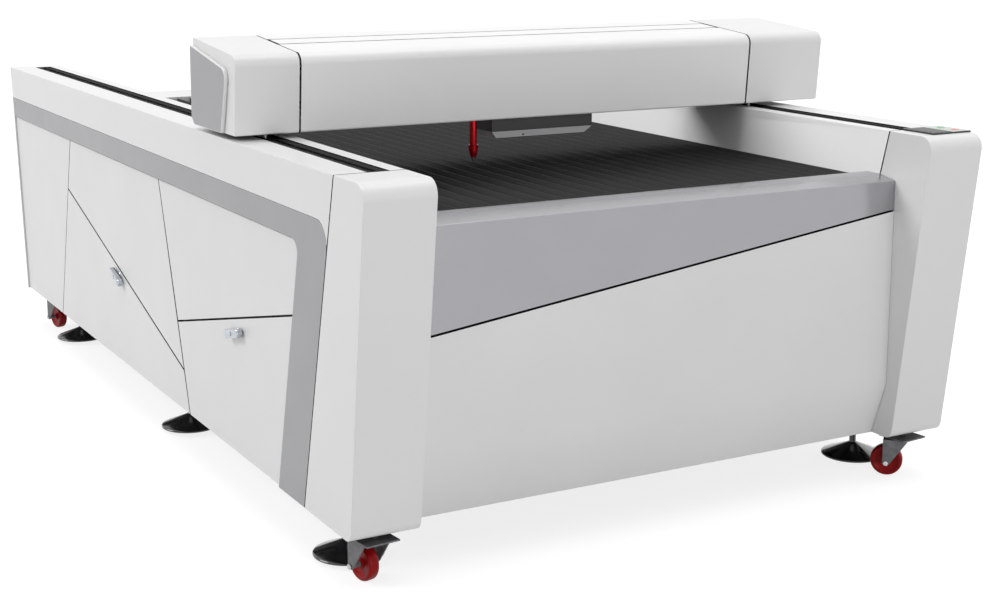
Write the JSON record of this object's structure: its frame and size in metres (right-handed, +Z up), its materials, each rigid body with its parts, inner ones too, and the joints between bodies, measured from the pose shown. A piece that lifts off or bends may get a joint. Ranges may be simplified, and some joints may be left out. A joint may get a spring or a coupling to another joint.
{
  "type": "carbon dioxide laser cutting machine",
  "caption": "Flat-bed laser cutter: cased table with a slatted bed, travelling gantry with a cutting head and red nozzle, side doors, levelling feet and casters.",
  "frame": {"origin": "centre of the bounding box's base, on the floor", "axes": "+Z up, +Y from the front towards the rear, +X to the right as seen from the front"},
  "size_m": [2.013, 3.4733, 1.2996],
  "materials": {
    "white_paint": "smooth satin white powder coat",
    "grey_paint": "smooth satin light grey powder coat",
    "silver_paint": "fine satin metallic sheet",
    "frame_paint": "dark grey paint on welded steel tube",
    "black_steel": "matt black steel blades",
    "tray_paint": "matt dark paint",
    "slot_rubber": "matt black rubber",
    "bright_steel": "ground steel",
    "gear_steel": "machined steel",
    "chrome": "polished chrome",
    "beam_aluminium": "anodised extrusion",
    "tube_glass": "clear glass",
    "motor_black": "satin black paint",
    "head_paint": "satin dark grey paint",
    "head_tray_paint": "satin mid grey paint",
    "red_anodised": "bright red anodised",
    "display_black": "glossy dark screen",
    "panel_face": "satin grey keypad face",
    "key_green": "glossy green",
    "key_red": "glossy orange red",
    "inlet_black": "matt black moulding",
    "foot_black": "glossy black moulding over a steel stem",
    "fork_steel": "pressed steel",
    "wheel_red": "glossy dark red moulding"
  },
  "bodies": {
    "root": {"side_frame_left": "frame_paint", "side_frame_right": "frame_paint", "cross_frame": "frame_paint", "bed_slats": "black_steel", "chip_tray": "tray_paint", "front_fascia": "silver_paint", "front_panel": "grey_paint", "rear_panel": "grey_paint", "rail_cover_left": "white_paint", "rail_cover_right": "white_paint", "slot_lips": "slot_rubber", "front_column_left": "white_paint", "front_column_right": "white_paint", "side_band_left": "silver_paint", "side_band_right": "silver_paint", "side_panel_rear_left": "grey_paint", "side_panel_upper_left": "grey_paint", "side_panel_front_left": "grey_paint", "side_panel_right": "grey_paint", "guide_rails": "bright_steel", "racks": "gear_steel", "control_panel": "panel_face", "control_display": "display_black", "power_inlet": "inlet_black", "levelling_feet": "foot_black", "laser_power_supply": "tray_paint"},
    "gantry": {"gantry_beam": "beam_aluminium", "gantry_brackets": "gear_steel", "bearing_blocks": "bright_steel", "gantry_cover": "white_paint", "gantry_cover_left": "white_paint", "gantry_cover_right": "white_paint", "gantry_lid": "white_paint", "end_plate": "silver_paint", "laser_tube": "tube_glass", "cross_guide_rails": "bright_steel", "cross_rack": "gear_steel", "drive_motors": "motor_black"},
    "left_pinion": {"pinion_left": "gear_steel"},
    "right_pinion": {"pinion_right": "gear_steel"},
    "head": {"head_carriage": "beam_aluminium", "cross_motor": "motor_black", "head_cover": "head_paint", "head_tray": "head_tray_paint"},
    "head_pinion": {"cross_pinion": "gear_steel"},
    "lens": {"nozzle": "red_anodised"},
    "rear_door": {"side_door_rear_left": "grey_paint"},
    "front_door": {"side_door_front_left": "grey_paint"},
    "rear_door_latch": {"rear_latch": "chrome"},
    "front_door_latch": {"front_latch": "chrome"},
    "start_button": {"start_key": "key_green"},
    "stop_button": {"stop_key": "key_red"},
    "caster_front_left": {"caster_fork_front_left": "fork_steel"},
    "wheel_front_left": {"caster_wheel_front_left": "wheel_red"},
    "caster_front_right": {"caster_fork_front_right": "fork_steel"},
    "wheel_front_right": {"caster_wheel_front_right": "wheel_red"},
    "caster_rear_left": {"caster_fork_rear_left": "fork_steel"},
    "wheel_rear_left": {"caster_wheel_rear_left": "wheel_red"},
    "caster_rear_right": {"caster_fork_rear_right": "fork_steel"},
    "wheel_rear_right": {"caster_wheel_rear_right": "wheel_red"}
  },
  "joints": [
    {"name": "gantry_slide", "type": "slide", "parent": "root", "child": "gantry", "axis": [0, 1, 0], "range_m": [-0.66, 2.2]},
    {"name": "left_pinion_spin", "type": "hinge", "parent": "gantry", "child": "left_pinion", "pos_m": [-0.872, -0.81719, 0.938], "axis": [0, 0, 1], "continuous": true},
    {"name": "right_pinion_spin", "type": "hinge", "parent": "gantry", "child": "right_pinion", "pos_m": [0.791, -0.81719, 0.938], "axis": [0, 0, 1], "continuous": true},
    {"name": "head_slide", "type": "slide", "parent": "gantry", "child": "head", "axis": [1, 0, 0], "range_m": [-0.55, 0.52]},
    {"name": "head_pinion_spin", "type": "hinge", "parent": "head", "child": "head_pinion", "pos_m": [0.0195, -0.74219, 1.165], "axis": [0, 1, 0], "continuous": true},
    {"name": "focus_slide", "type": "slide", "parent": "head", "child": "lens", "axis": [0, 0, 1], "range_m": [-0.008, 0.015]},
    {"name": "rear_door_hinge", "type": "hinge", "parent": "root", "child": "rear_door", "pos_m": [-0.9705, 0.35781, 0.163], "axis": [0, -1, 0], "range_deg": [0, 70]},
    {"name": "front_door_hinge", "type": "hinge", "parent": "root", "child": "front_door", "pos_m": [-0.9705, -0.82219, 0.163], "axis": [0, -1, 0], "range_deg": [0, 70]},
    {"name": "rear_latch_turn", "type": "hinge", "parent": "rear_door", "child": "rear_door_latch", "pos_m": [-0.9905, 0.29781, 0.441], "axis": [1, 0, 0], "range_deg": [0, 90]},
    {"name": "front_latch_turn", "type": "hinge", "parent": "front_door", "child": "front_door_latch", "pos_m": [-0.9905, -0.85619, 0.499], "axis": [1, 0, 0], "range_deg": [0, 90]},
    {"name": "start_key_press", "type": "slide", "parent": "root", "child": "start_button", "axis": [0, 0, -1], "range_m": [0, 0.0015], "stiffness_N_per_m": 600, "springref_m": -0.001},
    {"name": "stop_key_press", "type": "slide", "parent": "root", "child": "stop_button", "axis": [0, 0, -1], "range_m": [0, 0.0015], "stiffness_N_per_m": 600, "springref_m": -0.001},
    {"name": "caster_swivel_front_left", "type": "hinge", "parent": "root", "child": "caster_front_left", "pos_m": [-0.9005, -1.56819, 0.1165], "axis": [0, 0, 1], "continuous": true},
    {"name": "wheel_spin_front_left", "type": "hinge", "parent": "caster_front_left", "child": "wheel_front_left", "pos_m": [-0.90923, -1.5271, 0.047], "axis": [0.9781, 0.2079, 0], "continuous": true},
    {"name": "caster_swivel_front_right", "type": "hinge", "parent": "root", "child": "caster_front_right", "pos_m": [0.8195, -1.56819, 0.1165], "axis": [0, 0, 1], "continuous": true},
    {"name": "wheel_spin_front_right", "type": "hinge", "parent": "caster_front_right", "child": "wheel_front_right", "pos_m": [0.7898, -1.53849, 0.047], "axis": [0.7071, 0.7071, 0], "continuous": true},
    {"name": "caster_swivel_rear_left", "type": "hinge", "parent": "root", "child": "caster_rear_left", "pos_m": [-0.9005, 1.43881, 0.1165], "axis": [0, 0, 1], "continuous": true},
    {"name": "wheel_spin_rear_left", "type": "hinge", "parent": "caster_rear_left", "child": "wheel_rear_left", "pos_m": [-0.90923, 1.4799, 0.047], "axis": [0.9781, 0.2079, 0], "continuous": true},
    {"name": "caster_swivel_rear_right", "type": "hinge", "parent": "root", "child": "caster_rear_right", "pos_m": [0.8195, 1.43881, 0.1165], "axis": [0, 0, 1], "continuous": true},
    {"name": "wheel_spin_rear_right", "type": "hinge", "parent": "caster_rear_right", "child": "wheel_rear_right", "pos_m": [0.83386, 1.47828, 0.047], "axis": [0.9397, -0.342, 0], "continuous": true}
  ],
  "couplings": [
    {"joint": "left_pinion_spin", "follows": "gantry_slide", "rad_per_m": 33.333},
    {"joint": "right_pinion_spin", "follows": "gantry_slide", "rad_per_m": -33.333},
    {"joint": "head_pinion_spin", "follows": "head_slide", "rad_per_m": -55.556}
  ]
}
